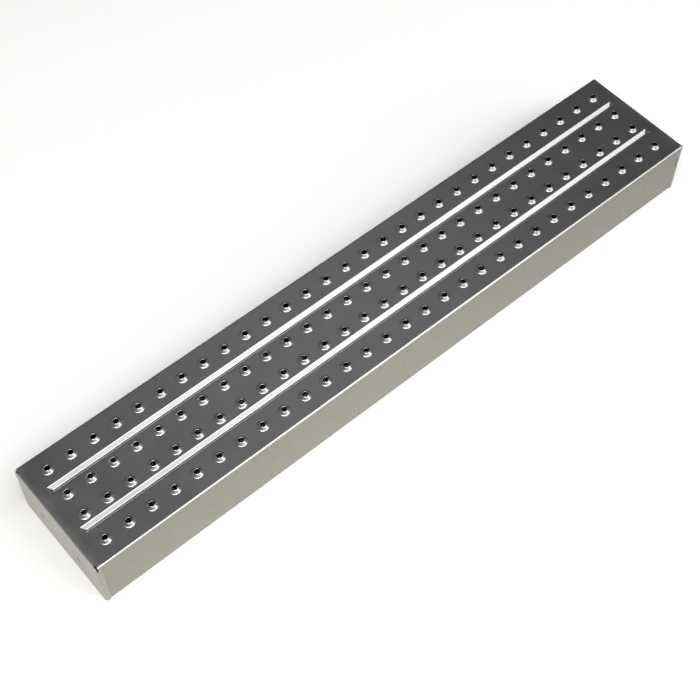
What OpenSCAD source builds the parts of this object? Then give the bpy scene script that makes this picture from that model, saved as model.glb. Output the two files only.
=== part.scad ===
// Long perforated sheet-metal tray for baguettes, in millimetres.
// A channel folded from one stainless sheet carries the loaves on its deck, and a
// folded cap closes each end. The tray stands on its lower edges, open underneath.
// X runs along the tray, Y to the back and Z up. The origin is at the middle of the
// tray, on the surface that it stands on.

/* [Overall size] */
// Length over the two end caps
tray_length = 598; // [240:1:1200]
// Width over the two long skirts
tray_width = 104; // [92:1:160]
// Height from the lower edges to the top of the deck
tray_height = 52; // [36:1:90]

/* [Sheet] */
// Thickness of the sheet
sheet = 1.2; // [0.9:0.1:1.7]
// Outside radius of the folds
fold_radius = 2; // [1.8:0.1:4]
// Width of the flange turned in under each long skirt
flange_width = 10; // [7:0.5:20]

/* [Holes in the deck] */
// Distance between neighbouring holes in a row
hole_pitch = 20; // [14:0.5:40]
// Least distance from the end of the tray to the first hole
end_margin = 19; // [15:0.5:40]
// Distance of each inner row from the middle of the deck
inner_row = 10.5; // [6:0.5:12]
// Distance of each outer row from the outside of its skirt
outer_margin = 16; // [10:0.5:22]
// Bore of a hole
hole_bore = 4.4; // [3:0.1:5]
// Height of the collar drawn up round a hole
collar_height = 2.2; // [1:0.1:4]
// Width of the rim on top of a collar
collar_rim = 0.5; // [0.4:0.1:1.2]
// Width of the slope from the rim down to the deck
collar_slope = 1.7; // [0.6:0.1:2]

/* [Grooves in the deck] */
// Width of a groove at the deck
groove_width = 6; // [3:0.1:7]
// Width of the flat at the bottom of a groove
groove_floor = 0.6; // [0.2:0.1:1.5]
// How far a groove runs on past the last holes
groove_overrun = 8.5; // [4:0.5:10]
// Place of a groove, from 0 at the inner row to 1 at the outer row
groove_place = 0.4; // [0.35:0.01:0.65]

/* [End caps] */
// How far a cap reaches along the skirts and the deck
cap_lip = 4; // [4:0.5:12]
// Width of the slit left at each top corner, where a cap is folded
corner_slit = 1.2; // [0.6:0.1:2]
// Reach of that slit along the deck and down the skirt
corner_reach = 4; // [3:0.5:6]
// Diameter of the fixing holes
fixing_bore = 4.5; // [3:0.1:6]
// Distance between the two fixing holes of a cap
fixing_spacing = 46; // [20:1:60]
// Height of the fixing holes
fixing_height = 23; // [12:1:30]

/* [Welds] */
// Width of a weld bead on the inside of a seam
bead_width = 3; // [2:0.1:4]
// Length of seam left open at the front right corner
open_seam_length = 10; // [4:0.5:12]
// Depth of the top of that open seam below the deck
open_seam_drop = 12; // [8:0.5:16]
// Width of the open seam
open_seam_width = 0.8; // [0.4:0.1:1.2]

/* [Hidden] */
$fn = 32;
overcut = 1;

channel_length = tray_length - 2 * cap_lip;
seam_x = channel_length / 2;
mouth_width = tray_width - 2 * flange_width;
deck_underside = tray_height - sheet;
skirt_inside = tray_width / 2 - sheet;

hole_count = floor((tray_length - 2 * end_margin) / hole_pitch) + 1;
row_length = (hole_count - 1) * hole_pitch;
outer_row = tray_width / 2 - outer_margin;
rows = [-outer_row, -inner_row, inner_row, outer_row];
rim_radius = hole_bore / 2 + collar_rim;
foot_radius = rim_radius + collar_slope;

groove_y = inner_row + groove_place * (outer_row - inner_row);
groove_length = row_length + 2 * groove_overrun;
groove_depth = (groove_width - groove_floor) / 2;
// A 45 degree wall of this thickness is wider by this much where it meets the deck
groove_skin = sheet * (sqrt(2) - 1);

bead_start = flange_width / 2;
bead_top = tray_height - fold_radius - corner_reach;
open_seam_top = tray_height - open_seam_drop;

// Extrusions of a flat outline along X, with its own x to Y and its own y to Z
module along_x(length) {
    rotate([90, 0, 90])
        linear_extrude(length, center = true)
            children();
}

// Extrusions of a flat outline along Y, with its own y to Z
module along_y(length) {
    rotate([90, 0, 0])
        linear_extrude(length, center = true)
            children();
}

// Rectangle standing on y = 0 with four round corners
module round_outline(width, height, radius) {
    translate([-width / 2 + radius, 0])
        square([width - 2 * radius, height]);
    translate([-width / 2, radius])
        square([width, height - 2 * radius]);
    for (x = [-width / 2 + radius, width / 2 - radius], y = [radius, height - radius])
        translate([x, y])
            circle(radius);
}

// Rectangle from y = -drop to the height, with only its top corners round
module arch_outline(width, height, radius, drop) {
    translate([-width / 2, -drop])
        square([width, height - radius + drop]);
    translate([-width / 2 + radius, -drop])
        square([width - 2 * radius, height + drop]);
    for (x = [-width / 2 + radius, width / 2 - radius])
        translate([x, height - radius])
            circle(radius);
}

// Section of the folded channel: deck, two skirts and two flanges
module channel_outline() {
    difference() {
        round_outline(tray_width, tray_height, fold_radius);
        translate([0, sheet])
            round_outline(tray_width - 2 * sheet, tray_height - 2 * sheet, fold_radius - sheet);
        translate([-mouth_width / 2, -overcut])
            square([mouth_width, fold_radius + overcut]);
    }
}

// Solid of the whole tray with every upper edge round, set in from the outside by inset
module tray_block(inset, drop) {
    length = tray_length - 2 * inset;
    width = tray_width - 2 * inset;
    height = tray_height - inset;
    radius = fold_radius - inset;
    intersection() {
        along_x(length)
            arch_outline(width, height, radius, drop);
        along_y(width)
            arch_outline(length, height, radius, drop);
        translate([0, -width / 2, -drop])
            linear_extrude(height + drop)
                round_outline(length, width, radius);
    }
}

// V-shaped trough hanging from the deck, with ends that slope like its sides
module trough(top_width, depth, length) {
    floor_width = top_width - 2 * depth;
    floor_length = length - 2 * depth;
    intersection() {
        along_x(length)
            polygon([[-top_width / 2, 0], [top_width / 2, 0],
                     [floor_width / 2, -depth], [-floor_width / 2, -depth]]);
        along_y(top_width)
            polygon([[-length / 2, 0], [length / 2, 0],
                     [floor_length / 2, -depth], [-floor_length / 2, -depth]]);
    }
}

// Outside of one groove, under the deck
module groove_skin_solid() {
    trough(groove_width + 2 * (groove_skin + sheet), groove_depth + sheet,
           groove_length + 2 * (groove_skin + sheet));
}

// Air in one groove, open above the deck
module groove_air() {
    trough(groove_width, groove_depth, groove_length);
    translate([0, 0, overcut / 2])
        cube([groove_length, groove_width, overcut], center = true);
}

// Collar drawn up out of the deck, before it is bored
module collar() {
    rotate_extrude()
        polygon([[0, -sheet / 2], [foot_radius, -sheet / 2], [foot_radius, 0],
                 [rim_radius, collar_height], [0, collar_height]]);
}

// Bore of a collar, flared where the sheet was drawn up
module collar_bore() {
    rotate_extrude()
        polygon([[0, -sheet - overcut], [rim_radius, -sheet - overcut], [rim_radius, -sheet],
                 [hole_bore / 2, 0], [hole_bore / 2, collar_height + overcut],
                 [0, collar_height + overcut]]);
}

// Copies of a shape at every hole of the deck
module at_holes() {
    for (y = rows, i = [0 : hole_count - 1])
        translate([i * hole_pitch - row_length / 2, y, tray_height])
            children();
}

// Copies of a shape at the middle of both grooves
module at_grooves() {
    for (side = [-1, 1])
        translate([0, side * groove_y, tray_height])
            children();
}

// The folded, drawn and pressed sheet: deck, skirts and flanges in one piece
module perforated_channel() {
    color("#8c8e90")
        difference() {
            union() {
                along_x(channel_length)
                    channel_outline();
                at_grooves()
                    groove_skin_solid();
                at_holes()
                    collar();
            }
            at_grooves()
                groove_air();
            at_holes()
                collar_bore();
            translate([seam_x - open_seam_width, -tray_width / 2 - overcut,
                       open_seam_top - open_seam_length])
                cube([open_seam_width + overcut, sheet + 2 * overcut, open_seam_length]);
        }
}

// Cap for the right end: a plate with a lip folded along the deck and both skirts
module end_cap() {
    difference() {
        intersection() {
            difference() {
                tray_block(0, 0);
                tray_block(sheet, overcut);
            }
            translate([seam_x, -tray_width / 2 - overcut, -overcut])
                cube([cap_lip + overcut, tray_width + 2 * overcut, tray_height + 2 * overcut]);
        }
        for (side = [-1, 1]) {
            translate([tray_length / 2 - sheet, side * fixing_spacing / 2, fixing_height])
                rotate([0, 90, 0])
                    cylinder(h = 4 * sheet, d = fixing_bore, center = true);
            translate([tray_length / 2 - sheet / 2 - corner_slit / 2,
                       side * (tray_width / 2 - corner_reach / 2),
                       tray_height - corner_reach / 2])
                cube([corner_slit, corner_reach + overcut, corner_reach + overcut], center = true);
        }
    }
}

module right_end_cap() {
    color("#a9a79c")
        end_cap();
}

module left_end_cap() {
    color("#a9a79c")
        mirror([1, 0, 0])
            end_cap();
}

// Weld bead up the inside of a skirt seam, on the sides given as -1 or 1
module skirt_bead(end, side) {
    color("#77716a")
        intersection() {
            translate([end * seam_x, side * skirt_inside, bead_start])
                cylinder(h = bead_top - bead_start, d = bead_width);
            translate([end * seam_x - bead_width, side > 0 ? 0 : -skirt_inside, 0])
                cube([2 * bead_width, skirt_inside, tray_height]);
        }
}

// Weld bead across the underside of the deck
module deck_bead(end) {
    length = tray_width - 2 * (fold_radius + corner_reach);
    color("#77716a")
        intersection() {
            translate([end * seam_x, 0, deck_underside])
                rotate([90, 0, 0])
                    cylinder(h = length, d = bead_width, center = true);
            translate([end * seam_x - bead_width, -tray_width / 2, deck_underside - bead_width])
                cube([2 * bead_width, tray_width, bead_width]);
        }
}

module weld_front_left() { skirt_bead(-1, -1); }
module weld_back_left() { skirt_bead(-1, 1); }
module weld_top_left() { deck_bead(-1); }
module weld_front_right() { skirt_bead(1, -1); }
module weld_back_right() { skirt_bead(1, 1); }
module weld_top_right() { deck_bead(1); }

perforated_channel();
left_end_cap();
right_end_cap();
weld_front_left();
weld_back_left();
weld_top_left();
weld_front_right();
weld_back_right();
weld_top_right();
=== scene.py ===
"""Looks of the perforated baguette tray, built round its CAD parts.

Lengths in the builders are in millimetres, as in the part's source, and every finished
mesh is in metres. X runs along the tray, Y to the back and Z up.
"""

import math

import bmesh
import bpy
from mathutils import Matrix, Vector


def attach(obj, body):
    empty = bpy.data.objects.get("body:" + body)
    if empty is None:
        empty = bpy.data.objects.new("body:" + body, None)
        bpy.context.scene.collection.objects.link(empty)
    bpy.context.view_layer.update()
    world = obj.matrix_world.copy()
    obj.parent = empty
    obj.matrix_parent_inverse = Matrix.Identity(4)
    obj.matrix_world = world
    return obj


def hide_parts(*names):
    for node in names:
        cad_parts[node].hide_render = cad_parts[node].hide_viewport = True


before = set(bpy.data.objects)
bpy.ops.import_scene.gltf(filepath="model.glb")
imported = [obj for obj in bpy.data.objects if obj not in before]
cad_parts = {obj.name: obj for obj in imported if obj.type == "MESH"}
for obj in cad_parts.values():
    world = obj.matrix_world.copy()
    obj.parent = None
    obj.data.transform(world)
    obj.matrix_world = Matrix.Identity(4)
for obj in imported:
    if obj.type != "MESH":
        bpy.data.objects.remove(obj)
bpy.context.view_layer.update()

# ---------------------------------------------------------------- sizes, in millimetres
WIDTH, HEIGHT = 104.0, 52.0
SHEET, FOLD, FLANGE = 1.2, 2.0, 10.0
SEAM_X = 295.0
PITCH, HOLES = 20.0, 29
INNER_ROW, OUTER_ROW = 10.5, 36.0
CELL_HALF = 6.0
GROOVE_Y, GROOVE_HALF, GROOVE_DEPTH, GROOVE_END = 20.7, 3.0, 2.7, 288.5
GROOVE_STRIP = 4.2
BEAD_HALF, BEAD_FOOT, BEAD_TOP = 1.45, 5.0, 46.0
DECK_BEAD_HALF = 46.0
# A weld ripple's half length, its height, and the distance from one ripple to the next
RIPPLE_HALF, RIPPLE_HEIGHT, RIPPLE_PITCH = 0.95, 1.3, 0.85
# The open seam: where it starts along the tray, and the heights of its foot and its top
OPEN_SEAM = (294.2, 30.0, 40.0)
# Chamfer on the cut edges of a cap, and the area from which a face of it is flat plate
CAP_EDGE, FLAT_FROM = 0.12, 60.0
MM = 0.001

FACE_Y = WIDTH / 2
EDGE_Y = OUTER_ROW + CELL_HALF
UNDER = HEIGHT - SHEET
FIRST_HOLE = -(HOLES - 1) * PITCH / 2


# ---------------------------------------------------------------- mesh helpers
def link(obj):
    """Puts an object in the scene and gives it back."""
    bpy.context.scene.collection.objects.link(obj)
    return obj


def mesh_of(name, faces):
    """A mesh of faces given by their corners in millimetres, with shared corners joined."""
    index, verts, polys = {}, [], []
    for face in faces:
        poly = []
        for corner in face:
            key = tuple(round(c, 4) for c in corner)
            if key not in index:
                index[key] = len(verts)
                verts.append([c * MM for c in corner])
            poly.append(index[key])
        polys.append(poly)
    mesh = bpy.data.meshes.new(name)
    mesh.from_pydata(verts, [], polys)
    return mesh


def tidy(mesh, angle):
    """Turns every normal outward and shades the mesh smooth up to an angle in degrees."""
    work = bmesh.new()
    work.from_mesh(mesh)
    bmesh.ops.recalc_face_normals(work, faces=work.faces)
    work.to_mesh(mesh)
    work.free()
    mesh.polygons.foreach_set("use_smooth", [True] * len(mesh.polygons))
    mesh.set_sharp_from_angle(angle=math.radians(angle))
    mesh.update()


def arc(centre, radius, start, end, steps):
    """Points on an arc in the section plane, from one angle to another in degrees."""
    points = []
    for step in range(steps + 1):
        angle = math.radians(start + (end - start) * step / steps)
        points.append((centre[0] + radius * math.cos(angle), centre[1] + radius * math.sin(angle)))
    return points


# ---------------------------------------------------------------- the folded sheet
def skirt_section():
    """Half section of the sheet outside the rows of holes, round the skirt and its flange."""
    bend = FACE_Y - FOLD
    tip = FACE_Y - FLANGE
    top = (bend, HEIGHT - FOLD)
    low = (bend, FOLD)
    inner = FOLD - SHEET
    _, seam_low, seam_high = OPEN_SEAM
    return (
        [(EDGE_Y, HEIGHT), (bend - 0.5, HEIGHT)]
        + arc(top, FOLD, 90, 0, 10)
        + [(FACE_Y, top[1] - 0.5), (FACE_Y, seam_high), (FACE_Y, seam_low), (FACE_Y, FOLD + 0.5)]
        + arc(low, FOLD, 0, -90, 10)
        + [(bend - 0.5, 0), (tip + 0.25, 0), (tip + 0.07, 0.07), (tip, 0.25)]
        + [(tip, SHEET - 0.25), (tip + 0.07, SHEET - 0.07), (tip + 0.25, SHEET), (bend - 0.5, SHEET)]
        + arc(low, inner, -90, 0, 8)
        + [(FACE_Y - SHEET, FOLD + 0.5), (FACE_Y - SHEET, seam_low), (FACE_Y - SHEET, seam_high)]
        + [(FACE_Y - SHEET, top[1] - 0.5)]
        + arc(top, inner, 0, 90, 8)
        + [(bend - 0.5, UNDER), (EDGE_Y, UNDER)]
    )


def skirt_faces(side, stations):
    """The skirt on one side, with the short open seam left out of the front one."""
    section = [(side * y, z) for y, z in skirt_section()]
    seam_x, seam_low, seam_high = OPEN_SEAM
    faces = []
    for x0, x1 in zip(stations, stations[1:]):
        for (y0, z0), (y1, z1) in zip(section, section[1:]):
            on_wall = {round(z0, 3), round(z1, 3)} == {seam_low, seam_high}
            if side < 0 and on_wall and x0 == seam_x:
                continue
            faces.append([(x0, y0, z0), (x1, y0, z0), (x1, y1, z1), (x0, y1, z1)])
    for x in (stations[0], stations[-1]):
        if side > 0 or x < 0:
            faces.append([(x, y, z) for y, z in section])
            continue
        above = [p for p in section if p[1] >= seam_high]
        below = [p for p in section if p[1] <= seam_low]
        faces.append([(x, y, z) for y, z in above])
        faces.append([(x, y, z) for y, z in below])
    if side < 0:
        out, inside, end = -FACE_Y, SHEET - FACE_Y, stations[-1]
        faces.append([(seam_x, out, seam_low), (seam_x, inside, seam_low),
                      (seam_x, inside, seam_high), (seam_x, out, seam_high)])
        for z in (seam_low, seam_high):
            faces.append([(seam_x, out, z), (end, out, z), (end, inside, z), (seam_x, inside, z)])
    return faces


def both_faces(corners):
    """A flat face of the deck and the one under it."""
    return [[(x, y, HEIGHT) for x, y in corners], [(x, y, UNDER) for x, y in corners]]


def flat_faces(y0, y1, stations):
    """A strip of plain deck between two lines along the tray."""
    faces = []
    for x0, x1 in zip(stations, stations[1:]):
        faces += both_faces([(x0, y0), (x1, y0), (x1, y1), (x0, y1)])
    return faces


# Distance in from the groove's edge, depth of the top face there
GROOVE_PROFILE = [(-1.0, 0.0), (-0.4, 0.0), (-0.16, 0.04), (0.08, 0.16), (0.34, 0.36),
                  (2.4, 2.38), (2.7, 2.6), (3.0, 2.7)]


def groove_depth(inward):
    """Depth of the groove's top face at a distance in from its edge."""
    low = GROOVE_PROFILE[0]
    for high in GROOVE_PROFILE[1:]:
        if inward <= high[0]:
            share = max(0.0, (inward - low[0]) / (high[0] - low[0]))
            return low[1] + share * (high[1] - low[1])
        low = high
    return low[1]


def groove_faces(centre, stations):
    """A strip of deck with one pressed groove, whose ends slope like its sides."""
    steps = [inward for inward, _ in GROOVE_PROFILE]
    across = sorted({round(s * (GROOVE_HALF - i), 4) for i in steps for s in (-1, 1)})
    fine = {round(s * (GROOVE_END - i), 4) for i in steps for s in (-1, 1)}
    along = sorted(fine | set(stations))

    def inward_x(x):
        return min(GROOVE_HALF, GROOVE_END - abs(x))

    def inward_y(v):
        return GROOVE_HALF - abs(v)

    def top(x, v):
        return (x, centre + v, HEIGHT - groove_depth(min(inward_x(x), inward_y(v))))

    def under(x, v):
        inward = min(inward_x(x), inward_y(v)) + SHEET * (math.sqrt(2) - 1)
        return (x, centre + v, UNDER - min(max(inward, 0.0), GROOVE_DEPTH))

    faces = []
    for x0, x1 in zip(along, along[1:]):
        for v0, v1 in zip(across, across[1:]):
            corners = [(x0, v0), (x1, v0), (x1, v1), (x0, v1)]
            mitre = [abs(inward_x(x) - inward_y(v)) < 1e-3 for x, v in corners]
            if (mitre[0] and mitre[2]) or (mitre[1] and mitre[3]):
                first = 0 if mitre[0] and mitre[2] else 1
                order = corners[first:] + corners[:first]
                shapes = [[order[0], order[1], order[2]], [order[0], order[2], order[3]]]
            else:
                shapes = [corners]
            for shape in shapes:
                faces.append([top(x, v) for x, v in shape])
                faces.append([under(x, v) for x, v in shape])
    for side in (-1, 1):
        inner, outer = centre + side * across[-1], centre + side * GROOVE_STRIP
        for x0, x1 in zip(stations, stations[1:]):
            near = [(x, inner) for x in along if x0 <= x <= x1]
            faces += both_faces(near + [(x1, outer), (x0, outer)])
    for x in (stations[0], stations[-1]):
        lines = [-GROOVE_STRIP] + across + [GROOVE_STRIP]
        faces += deck_ends([centre + v for v in lines], x)
    return faces


def deck_ends(lines, x):
    """The cut edge of the deck at one end."""
    return [[(x, y0, HEIGHT), (x, y1, HEIGHT), (x, y1, UNDER), (x, y0, UNDER)]
            for y0, y1 in zip(lines, lines[1:])]


def sheet_faces():
    """The whole folded sheet, with an opening for every collar cell."""
    cells = [FIRST_HOLE - PITCH / 2 + PITCH * i for i in range(HOLES + 1)]
    stations = [-SEAM_X] + cells + [OPEN_SEAM[0], SEAM_X]
    faces = []
    for side in (-1, 1):
        faces += skirt_faces(side, stations)
        faces += groove_faces(side * GROOVE_Y, stations)
        for low, high in ((INNER_ROW - CELL_HALF, INNER_ROW + CELL_HALF),
                          (OUTER_ROW - CELL_HALF, OUTER_ROW + CELL_HALF)):
            for part in (stations[:2], stations[-3:]):
                faces += flat_faces(side * low, side * high, part)
            for x in (stations[0], stations[-1]):
                faces += deck_ends([side * low, side * high], x)
        between = [GROOVE_Y + GROOVE_STRIP, OUTER_ROW - CELL_HALF]
        faces += flat_faces(side * between[0], side * between[1], stations)
        for x in (stations[0], stations[-1]):
            faces += deck_ends([side * y for y in between], x)
    middle = INNER_ROW - CELL_HALF
    faces += flat_faces(-middle, middle, stations)
    for x in (stations[0], stations[-1]):
        faces += deck_ends([-middle, middle], x)
    return faces


# Radius and height above the deck, from the flat deck over the rolled rim and down the bore
COLLAR_TOP = [(5.5, 0.0), (4.9, 0.0), (4.64, 0.05), (4.4, 0.19), (4.14, 0.42), (3.7, 0.88), (3.2, 1.42),
              (2.8, 1.86), (2.62, 2.06), (2.48, 2.17), (2.36, 2.2), (2.26, 2.15), (2.2, 2.02), (2.2, 0.0)]
COLLAR_LOW = [(2.24, -0.4), (2.36, -0.8), (2.6, -1.08), (2.95, -1.2), (4.2, -1.2)]
COLLAR_SIDES = 28


def collar_faces():
    """One cell of the deck with a hole drawn up into a collar."""
    def ring(radius, z):
        turns = [2 * math.pi * k / COLLAR_SIDES for k in range(COLLAR_SIDES)]
        return [(radius * math.cos(a), radius * math.sin(a), z) for a in turns]

    faces = []
    rings = [ring(r, z) for r, z in COLLAR_TOP + COLLAR_LOW]
    for outer, inner in zip(rings, rings[1:]):
        for k in range(COLLAR_SIDES):
            n = (k + 1) % COLLAR_SIDES
            faces.append([outer[k], outer[n], inner[n], inner[k]])
    quarter = COLLAR_SIDES // 4
    corners = [(PITCH / 2, CELL_HALF), (-PITCH / 2, CELL_HALF),
               (-PITCH / 2, -CELL_HALF), (PITCH / 2, -CELL_HALF)]
    for edge, z in ((rings[0], 0.0), (rings[-1], -SHEET)):
        for q, (x, y) in enumerate(corners):
            last = corners[q - 1]
            faces.append([(last[0], last[1], z), (x, y, z), edge[q * quarter]])
            for k in range(quarter):
                here = q * quarter + k
                faces.append([(x, y, z), edge[(here + 1) % COLLAR_SIDES], edge[here]])
    return faces


def ripple_faces():
    """One ripple of a weld bead: half an egg with a flat base, its length along X."""
    sides, levels = 14, 4
    faces = []

    def point(k, level):
        turn, rise = 2 * math.pi * k / sides, math.pi / 2 * level / levels
        return (RIPPLE_HALF * math.cos(turn) * math.cos(rise),
                BEAD_HALF * math.sin(turn) * math.cos(rise), RIPPLE_HEIGHT * math.sin(rise))

    for k in range(sides):
        for level in range(levels - 1):
            faces.append([point(k, level), point(k + 1, level),
                          point(k + 1, level + 1), point(k, level + 1)])
        faces.append([point(k, levels - 1), point(k + 1, levels - 1), (0, 0, RIPPLE_HEIGHT)])
    faces.append([point(k, 0) for k in range(sides)])
    return faces


# ---------------------------------------------------------------- node helper
def add(tree, kind, inputs=None, **settings):
    """Adds a node. An input takes a value, or another node's output socket."""
    node = tree.nodes.new(kind)
    for name, value in settings.items():
        setattr(node, name, value)
    for name, value in (inputs or {}).items():
        if isinstance(value, bpy.types.NodeSocket):
            tree.links.new(value, node.inputs[name])
        else:
            node.inputs[name].default_value = value
    return node


def group_with(name, sockets):
    """An empty Geometry Nodes group with named inputs, its input node and its output node."""
    group = bpy.data.node_groups.new(name, "GeometryNodeTree")
    group.interface.new_socket("Geometry", in_out="INPUT", socket_type="NodeSocketGeometry")
    for label, kind in sockets:
        group.interface.new_socket(label, in_out="INPUT", socket_type="NodeSocket" + kind)
    group.interface.new_socket("Geometry", in_out="OUTPUT", socket_type="NodeSocketGeometry")
    return group, add(group, "NodeGroupInput").outputs, add(group, "NodeGroupOutput")


def baked(obj, group, values):
    """Runs a group on an object and keeps its result as the object's plain mesh."""
    modifier = obj.modifiers.new(group.name, "NODES")
    modifier.node_group = group
    for item in group.interface.items_tree:
        if item.in_out == "INPUT" and item.name in values:
            modifier[item.identifier] = values[item.name]
    bpy.context.view_layer.update()
    shown = obj.evaluated_get(bpy.context.evaluated_depsgraph_get())
    mesh = bpy.data.meshes.new_from_object(shown)
    obj.modifiers.clear()
    obj.data = mesh
    return obj


# ---------------------------------------------------------------- repeated features
def collar_field():
    """Group: a collar cell at every hole of four rows, joined to the sheet."""
    group, given, out = group_with("collar_field", [
        ("Collar", "Object"), ("First Hole", "Float"), ("Pitch", "Float"), ("Holes", "Int"),
        ("Inner Row", "Float"), ("Outer Row", "Float"), ("Deck Height", "Float"),
        ("Join Distance", "Float"), ("Sheet Metal", "Material")])
    step = add(group, "ShaderNodeCombineXYZ", {"X": given["Pitch"]})
    rows = add(group, "GeometryNodeJoinGeometry")
    for label in ("Inner Row", "Outer Row"):
        for side in (-1.0, 1.0):
            y = add(group, "ShaderNodeMath", {0: given[label], 1: side}, operation="MULTIPLY")
            start = add(group, "ShaderNodeCombineXYZ", {
                "X": given["First Hole"], "Y": y.outputs[0], "Z": given["Deck Height"]})
            row = add(group, "GeometryNodeMeshLine", {
                "Count": given["Holes"], "Start Location": start.outputs[0],
                "Offset": step.outputs[0]}, mode="OFFSET")
            group.links.new(row.outputs[0], rows.inputs[0])
    collar = add(group, "GeometryNodeObjectInfo", {"Object": given["Collar"]})
    placed = add(group, "GeometryNodeInstanceOnPoints", {
        "Points": rows.outputs[0], "Instance": collar.outputs["Geometry"]})
    whole = add(group, "GeometryNodeJoinGeometry", {0: given["Geometry"]})
    group.links.new(placed.outputs[0], whole.inputs[0])
    real = add(group, "GeometryNodeRealizeInstances", {"Geometry": whole.outputs[0]})
    welded = add(group, "GeometryNodeMergeByDistance", {
        "Geometry": real.outputs[0], "Distance": given["Join Distance"]})
    dressed = add(group, "GeometryNodeSetMaterial", {
        "Geometry": welded.outputs[0], "Material": given["Sheet Metal"]})
    group.links.new(dressed.outputs[0], out.inputs[0])
    return group


def ripple_run():
    """Group: a run of overlapping ripples of slightly uneven size along a seam."""
    group, given, out = group_with("ripple_run", [
        ("Ripple", "Object"), ("Start", "Vector"), ("Step", "Vector"), ("Ripples", "Int"),
        ("Turn", "Rotation"), ("Least Size", "Vector"), ("Most Size", "Vector"), ("Seed", "Int"),
        ("Weld Metal", "Material")])
    seam = add(group, "GeometryNodeMeshLine", {
        "Count": given["Ripples"], "Start Location": given["Start"], "Offset": given["Step"]},
        mode="OFFSET")
    size = add(group, "FunctionNodeRandomValue", {
        "Min": given["Least Size"], "Max": given["Most Size"], "Seed": given["Seed"]},
        data_type="FLOAT_VECTOR")
    ripple = add(group, "GeometryNodeObjectInfo", {"Object": given["Ripple"]})
    placed = add(group, "GeometryNodeInstanceOnPoints", {
        "Points": seam.outputs[0], "Instance": ripple.outputs["Geometry"],
        "Rotation": given["Turn"], "Scale": size.outputs[0]})
    real = add(group, "GeometryNodeRealizeInstances", {"Geometry": placed.outputs[0]})
    tinted = add(group, "GeometryNodeSetMaterial", {
        "Geometry": real.outputs[0], "Material": given["Weld Metal"]})
    group.links.new(tinted.outputs[0], out.inputs[0])
    return group


# ---------------------------------------------------------------- materials
def linear(code):
    """A colour written as sRGB hex, as linear RGBA."""
    channels = [int(code[i:i + 2], 16) / 255 for i in (1, 3, 5)]
    return [c / 12.92 if c <= 0.04045 else ((c + 0.055) / 1.055) ** 2.4 for c in channels] + [1.0]


def material(name):
    """A material with an empty tree, its output node and the object's coordinates."""
    made = bpy.data.materials.new(name)
    made.use_nodes = True
    tree = made.node_tree
    tree.nodes.clear()
    return made, tree, add(tree, "ShaderNodeOutputMaterial"), add(tree, "ShaderNodeTexCoord")


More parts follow.
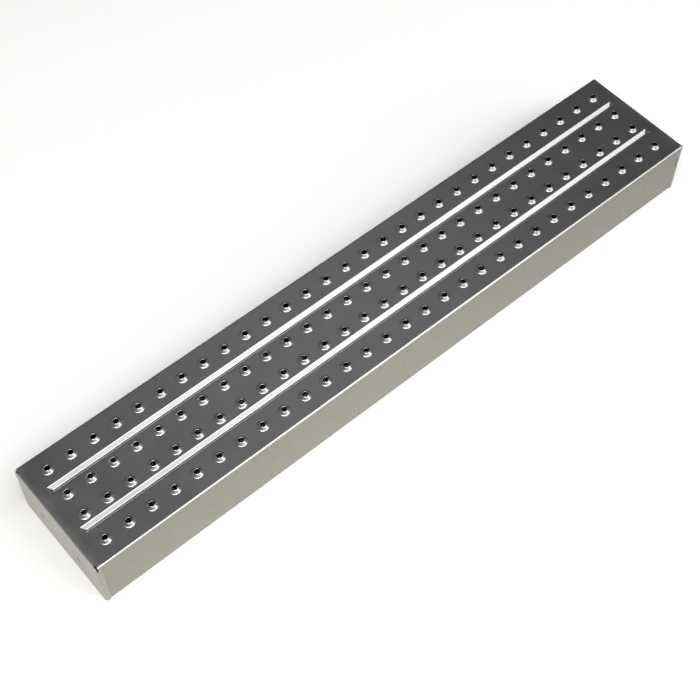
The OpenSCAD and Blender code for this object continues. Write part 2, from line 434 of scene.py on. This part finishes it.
def stainless(name, cool, standing_face_shade_colour, rough, streaks):
    """Cold-rolled stainless sheet. Fine grain runs along the tray, the faces that stand up are
    painted darker and warmer than the deck as painted shade by facing, a slow waviness bends the
    reflections, and the last few millimetres at the welded ends are dressed across the grain."""
    made, tree, out, coords = material(name)
    place = coords.outputs["Object"]
    apart = add(tree, "ShaderNodeSeparateXYZ", {0: place})
    # Grain: noise stretched 60 to 1 along X, about 0.35 mm across
    stretched = add(tree, "ShaderNodeMapping", {"Vector": place, "Scale": (45.0, 2800.0, 2800.0)})
    grain = add(tree, "ShaderNodeTexNoise", {
        "Vector": stretched.outputs[0], "Scale": 1.0, "Detail": 4.0, "Roughness": 0.6})
    # Waviness of the rolled sheet, about 60 mm long and 25 mm wide
    slow = add(tree, "ShaderNodeMapping", {"Vector": place, "Scale": (9.0, 24.0, 24.0)})
    waves = add(tree, "ShaderNodeTexNoise", {
        "Vector": slow.outputs[0], "Scale": 1.0, "Detail": 1.5, "Roughness": 0.45})
    # Handling marks: cloudy patches of 10 to 30 mm
    smudges = add(tree, "ShaderNodeTexNoise", {
        "Vector": place, "Scale": 38.0, "Detail": 3.0, "Roughness": 0.5})
    # Dressing marks: vertical strokes 0.5 mm apart at the welded ends
    upright = add(tree, "ShaderNodeMapping", {"Vector": place, "Scale": (2000.0, 160.0, 60.0)})
    strokes = add(tree, "ShaderNodeTexNoise", {
        "Vector": upright.outputs[0], "Scale": 1.0, "Detail": 3.0, "Roughness": 0.55})
    far = add(tree, "ShaderNodeMath", {0: apart.outputs["X"]}, operation="ABSOLUTE")
    ragged = add(tree, "ShaderNodeMath", {
        0: smudges.outputs["Fac"], 1: 0.006, 2: far.outputs[0]}, operation="MULTIPLY_ADD")
    band = add(tree, "ShaderNodeMapRange", {
        "Value": ragged.outputs[0], "From Min": 0.2955, "From Max": 0.2985})
    # Painted shade: faces that stand up take the darker, warmer colour and the deck the lighter one
    level = add(tree, "ShaderNodeNewGeometry")
    facing = add(tree, "ShaderNodeSeparateXYZ", {0: level.outputs["Normal"]})
    upward = add(tree, "ShaderNodeMapRange", {
        "Value": facing.outputs["Z"], "From Min": 0.3, "From Max": 0.95})
    tone = add(tree, "ShaderNodeMix", {
        "Factor": upward.outputs[0], 6: linear(standing_face_shade_colour), 7: linear(cool)}, data_type="RGBA")
    # Painted shade: the tray is painted about a fifth darker toward its right end
    right_end_painted_shade = add(tree, "ShaderNodeMapRange", {
        "Value": apart.outputs["X"], "From Min": -0.1, "From Max": 0.3,
        "To Min": 1.0, "To Max": 0.74}, interpolation_type="SMOOTHSTEP")
    cloudy = add(tree, "ShaderNodeMapRange", {
        "Value": smudges.outputs["Fac"], "From Min": 0.3, "From Max": 0.7,
        "To Min": 0.95, "To Max": 1.03})
    shade = add(tree, "ShaderNodeMath", {
        0: right_end_painted_shade.outputs[0], 1: cloudy.outputs[0]}, operation="MULTIPLY")
    # Colour times the painted shade toward the right end and the real handling marks
    painted_shade_and_smudges = add(tree, "ShaderNodeMix", {
        "Factor": 1.0, 6: tone.outputs[2], 7: shade.outputs[0]},
        data_type="RGBA", blend_type="MULTIPLY")
    polish = add(tree, "ShaderNodeMapRange", {
        "Value": smudges.outputs["Fac"], "From Min": 0.3, "From Max": 0.7,
        "To Min": rough - 0.01, "To Max": rough + 0.03})
    dull = add(tree, "ShaderNodeMath", {
        0: band.outputs[0], 1: 0.05, 2: polish.outputs[0]}, operation="MULTIPLY_ADD")
    bend = add(tree, "ShaderNodeBump", {
        "Strength": 1.0, "Distance": 0.00025, "Height": waves.outputs["Fac"]})
    rolled = add(tree, "ShaderNodeBump", {
        "Strength": 0.12, "Distance": 0.00002, "Height": grain.outputs["Fac"],
        "Normal": bend.outputs[0]})
    worked = add(tree, "ShaderNodeMath", {
        0: strokes.outputs["Fac"], 1: band.outputs[0]}, operation="MULTIPLY")
    stroked = add(tree, "ShaderNodeBump", {
        "Strength": streaks, "Distance": 0.00004, "Height": worked.outputs[0],
        "Normal": rolled.outputs[0]})
    metal = add(tree, "ShaderNodeBsdfPrincipled", {
        "Base Color": painted_shade_and_smudges.outputs[2], "Metallic": 1.0, "Roughness": dull.outputs[0],
        "Normal": stroked.outputs[0]})
    tree.links.new(metal.outputs[0], out.inputs["Surface"])
    return made


def weld_metal():
    """As-welded stainless bead: rippled metal, heat-tinted from straw to brown and blue."""
    made, tree, out, coords = material("heat_tinted_weld_bead")
    place = coords.outputs["Object"]
    cloud = add(tree, "ShaderNodeTexNoise", {"Vector": place, "Scale": 420.0, "Detail": 3.0})
    tint = add(tree, "ShaderNodeValToRGB", {"Fac": cloud.outputs["Fac"]})
    ramp = tint.color_ramp.elements
    ramp[0].position, ramp[0].color = 0.32, linear("#6C6F7C")
    ramp[1].position, ramp[1].color = 0.7, linear("#A89B84")
    middle = ramp.new(0.5)
    middle.color = linear("#8C7A66")
    pits = add(tree, "ShaderNodeBump", {
        "Strength": 0.4, "Distance": 0.0001, "Height": cloud.outputs["Fac"]})
    metal = add(tree, "ShaderNodeBsdfPrincipled", {
        "Base Color": tint.outputs["Color"], "Metallic": 1.0, "Roughness": 0.38,
        "Normal": pits.outputs[0]})
    tree.links.new(metal.outputs[0], out.inputs["Surface"])
    return made


def pale_floor():
    """Matt white studio paper, which the standing faces of the tray mirror."""
    made, tree, out, _ = material("pale_studio_paper")
    paper = add(tree, "ShaderNodeBsdfPrincipled", {
        "Base Color": linear("#F6F5F3"), "Roughness": 0.9, "Specular IOR Level": 0.2})
    tree.links.new(paper.outputs[0], out.inputs["Surface"])
    return made


# Deck colour first, then the darker colour painted on the standing faces as painted shade
deck_metal = stainless("satin_stainless_sheet", "#C4C4C5", "#8C8A80", 0.27, 0.2)
cap_metal = stainless("dressed_stainless_cap", "#C0C0C1", "#9D9B91", 0.28, 0.3)
bead_metal = weld_metal()


# ---------------------------------------------------------------- the pieces
def finish_piece(obj, node, angle):
    """Tidies a finished mesh, puts it on its body, and lets it stand in for its CAD part."""
    tidy(obj.data, angle)
    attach(obj, "root")
    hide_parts(node)


collar = link(bpy.data.objects.new("collar_cell", mesh_of("collar_cell", collar_faces())))
channel = link(bpy.data.objects.new("perforated_sheet", mesh_of("perforated_sheet", sheet_faces())))
baked(channel, collar_field(), {
    "Collar": collar, "First Hole": FIRST_HOLE * MM, "Pitch": PITCH * MM, "Holes": HOLES,
    "Inner Row": INNER_ROW * MM, "Outer Row": OUTER_ROW * MM, "Deck Height": HEIGHT * MM,
    "Join Distance": 0.01 * MM, "Sheet Metal": deck_metal})
bpy.data.objects.remove(collar)
finish_piece(channel, "perforated_channel", 38)


def softened(node, width):
    """A copy of a CAD part's mesh with its flat faces whole and its sharp edges broken."""
    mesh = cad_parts[node].data.copy()
    work = bmesh.new()
    work.from_mesh(mesh)
    bmesh.ops.remove_doubles(work, verts=work.verts, dist=0.002 * MM)
    bmesh.ops.dissolve_limit(work, angle_limit=math.radians(1), verts=work.verts, edges=work.edges)
    work.to_mesh(mesh)
    work.free()
    piece = link(bpy.data.objects.new(node + "_look", mesh))
    bevel = piece.modifiers.new("edges", "BEVEL")
    bevel.width = width * MM
    bevel.segments = 2
    bevel.limit_method = "ANGLE"
    bevel.angle_limit = math.radians(38)
    bpy.context.view_layer.update()
    shown = piece.evaluated_get(bpy.context.evaluated_depsgraph_get())
    piece.data = bpy.data.meshes.new_from_object(shown)
    piece.modifiers.clear()
    return piece


for end in ("left", "right"):
    cap = softened(end + "_end_cap", CAP_EDGE)
    cap.data.materials.clear()
    cap.data.materials.append(cap_metal)
    finish_piece(cap, end + "_end_cap", 20)
    for face in cap.data.polygons:
        face.use_smooth = face.area < FLAT_FROM * MM * MM

ripple = link(bpy.data.objects.new("ripple", mesh_of("ripple", ripple_faces())))
run_group = ripple_run()


def weld_run(node, start, end, outward, seed):
    """A rippled bead from one point to another, standing out from the sheet it lies on."""
    start, end, outward = Vector(start), Vector(end), Vector(outward)
    along = (end - start).normalized()
    inset = along * RIPPLE_HALF
    count = int(((end - start).length - 2 * RIPPLE_HALF) / RIPPLE_PITCH) + 1
    turn = Matrix((along, outward.cross(along), outward)).transposed().to_euler()
    run = link(bpy.data.objects.new(node + "_look", bpy.data.meshes.new(node + "_look")))
    baked(run, run_group, {
        "Ripple": ripple, "Start": (start + inset) * MM, "Step": along * RIPPLE_PITCH * MM,
        "Ripples": count, "Turn": turn, "Least Size": (0.9, 0.9, 0.88),
        "Most Size": (1.0, 1.0, 1.0), "Seed": seed, "Weld Metal": bead_metal})
    finish_piece(run, node, 60)


seed = 3
for end, sign in (("left", -1), ("right", 1)):
    x = sign * SEAM_X
    for place, side in (("front", -1), ("back", 1)):
        y = side * (FACE_Y - SHEET)
        weld_run("weld_%s_%s" % (place, end), (x, y, BEAD_FOOT), (x, y, BEAD_TOP),
                 (0, -side, 0), seed)
        seed += 1
    weld_run("weld_top_%s" % end, (x, -DECK_BEAD_HALF, UNDER), (x, DECK_BEAD_HALF, UNDER),
             (0, 0, -1), seed)
    seed += 1
bpy.data.objects.remove(ripple)


# ---------------------------------------------------------------- floor, light and camera
floor = link(bpy.data.objects.new("floor", mesh_of("floor", [[
    (-6000, -6000, 0), (6000, -6000, 0), (6000, 6000, 0), (-6000, 6000, 0)]])))
floor.data.materials.append(pale_floor())


def softbox(name, place, target, size, power):
    """A white rectangular studio light that faces a point."""
    lamp = bpy.data.lights.new(name, "AREA")
    lamp.shape = "RECTANGLE"
    lamp.size, lamp.size_y = size
    lamp.energy = power
    obj = link(bpy.data.objects.new(name, lamp))
    obj.location = place
    aim = Vector(target) - Vector(place)
    obj.rotation_euler = aim.to_track_quat("-Z", "Y").to_euler()


# Three panels along the front, brighter to the right, which the grooves and collars mirror
softbox("front_wall", (1.9, -1.9, 1.25), (1.9, 0, 1.25), (1.8, 2.4), 36)
softbox("front_wall_middle", (0.6, -1.9, 1.25), (0.6, 0, 1.25), (0.8, 2.4), 10)
softbox("front_wall_left", (-0.6, -1.9, 1.25), (-0.6, 0, 1.25), (1.6, 2.4), 7.5)
softbox("front_roof", (0.4, -1.3, 2.7), (0, 0, 0), (3.2, 1.5), 44)
softbox("high_left_softbox", (-1.1, -0.75, 2.2), (-0.3, 0.2, 0), (1.4, 1.3), 42)

world = bpy.data.worlds.new("studio")
bpy.context.scene.world = world
world.use_nodes = True
tree = world.node_tree
tree.nodes.clear()
# The room is grey, and a little lighter above the back right, where the deck mirrors it
sky = add(tree, "ShaderNodeTexCoord")
toward = add(tree, "ShaderNodeVectorMath", {
    0: sky.outputs["Generated"], 1: (0.36, 0.42, 0.83)}, operation="DOT_PRODUCT")
glow = add(tree, "ShaderNodeMapRange", {
    "Value": toward.outputs["Value"], "From Min": 0.955, "From Max": 1.0,
    "To Min": 0.07, "To Max": 0.27}, interpolation_type="SMOOTHSTEP")
around = add(tree, "ShaderNodeMapRange", {
    "Value": toward.outputs["Value"], "From Min": 0.6, "From Max": 0.88,
    "To Min": 0.16, "To Max": 0.0}, interpolation_type="SMOOTHSTEP")
level = add(tree, "ShaderNodeMath", {0: glow.outputs[0], 1: around.outputs[0]}, operation="ADD")
room = add(tree, "ShaderNodeBackground", {"Color": linear("#FFFFFF"), "Strength": level.outputs[0]})
paper_sky = add(tree, "ShaderNodeBackground", {"Color": linear("#F1F0EE")})
path = add(tree, "ShaderNodeLightPath")
seen = add(tree, "ShaderNodeMixShader", {
    0: path.outputs["Is Camera Ray"], 1: room.outputs[0], 2: paper_sky.outputs[0]})
tree.links.new(seen.outputs[0], add(tree, "ShaderNodeOutputWorld").inputs["Surface"])

bpy.context.scene.view_settings.view_transform = "Standard"

camera = link(bpy.data.objects.new("camera", bpy.data.cameras.new("camera")))
camera.data.sensor_width = 36
camera.data.lens = 71.7
azimuth, elevation, distance = math.radians(40.5), math.radians(56.3), 1.057
back = Vector((-math.sin(azimuth) * math.cos(elevation),
               -math.cos(azimuth) * math.cos(elevation), math.sin(elevation)))
camera.location = Vector((-0.0482, -0.0266, 0.052)) + back * distance
camera.rotation_euler = (-back).to_track_quat("-Z", "Y").to_euler()
camera.data.clip_start, camera.data.clip_end = 0.05, 50
bpy.context.scene.camera = camera
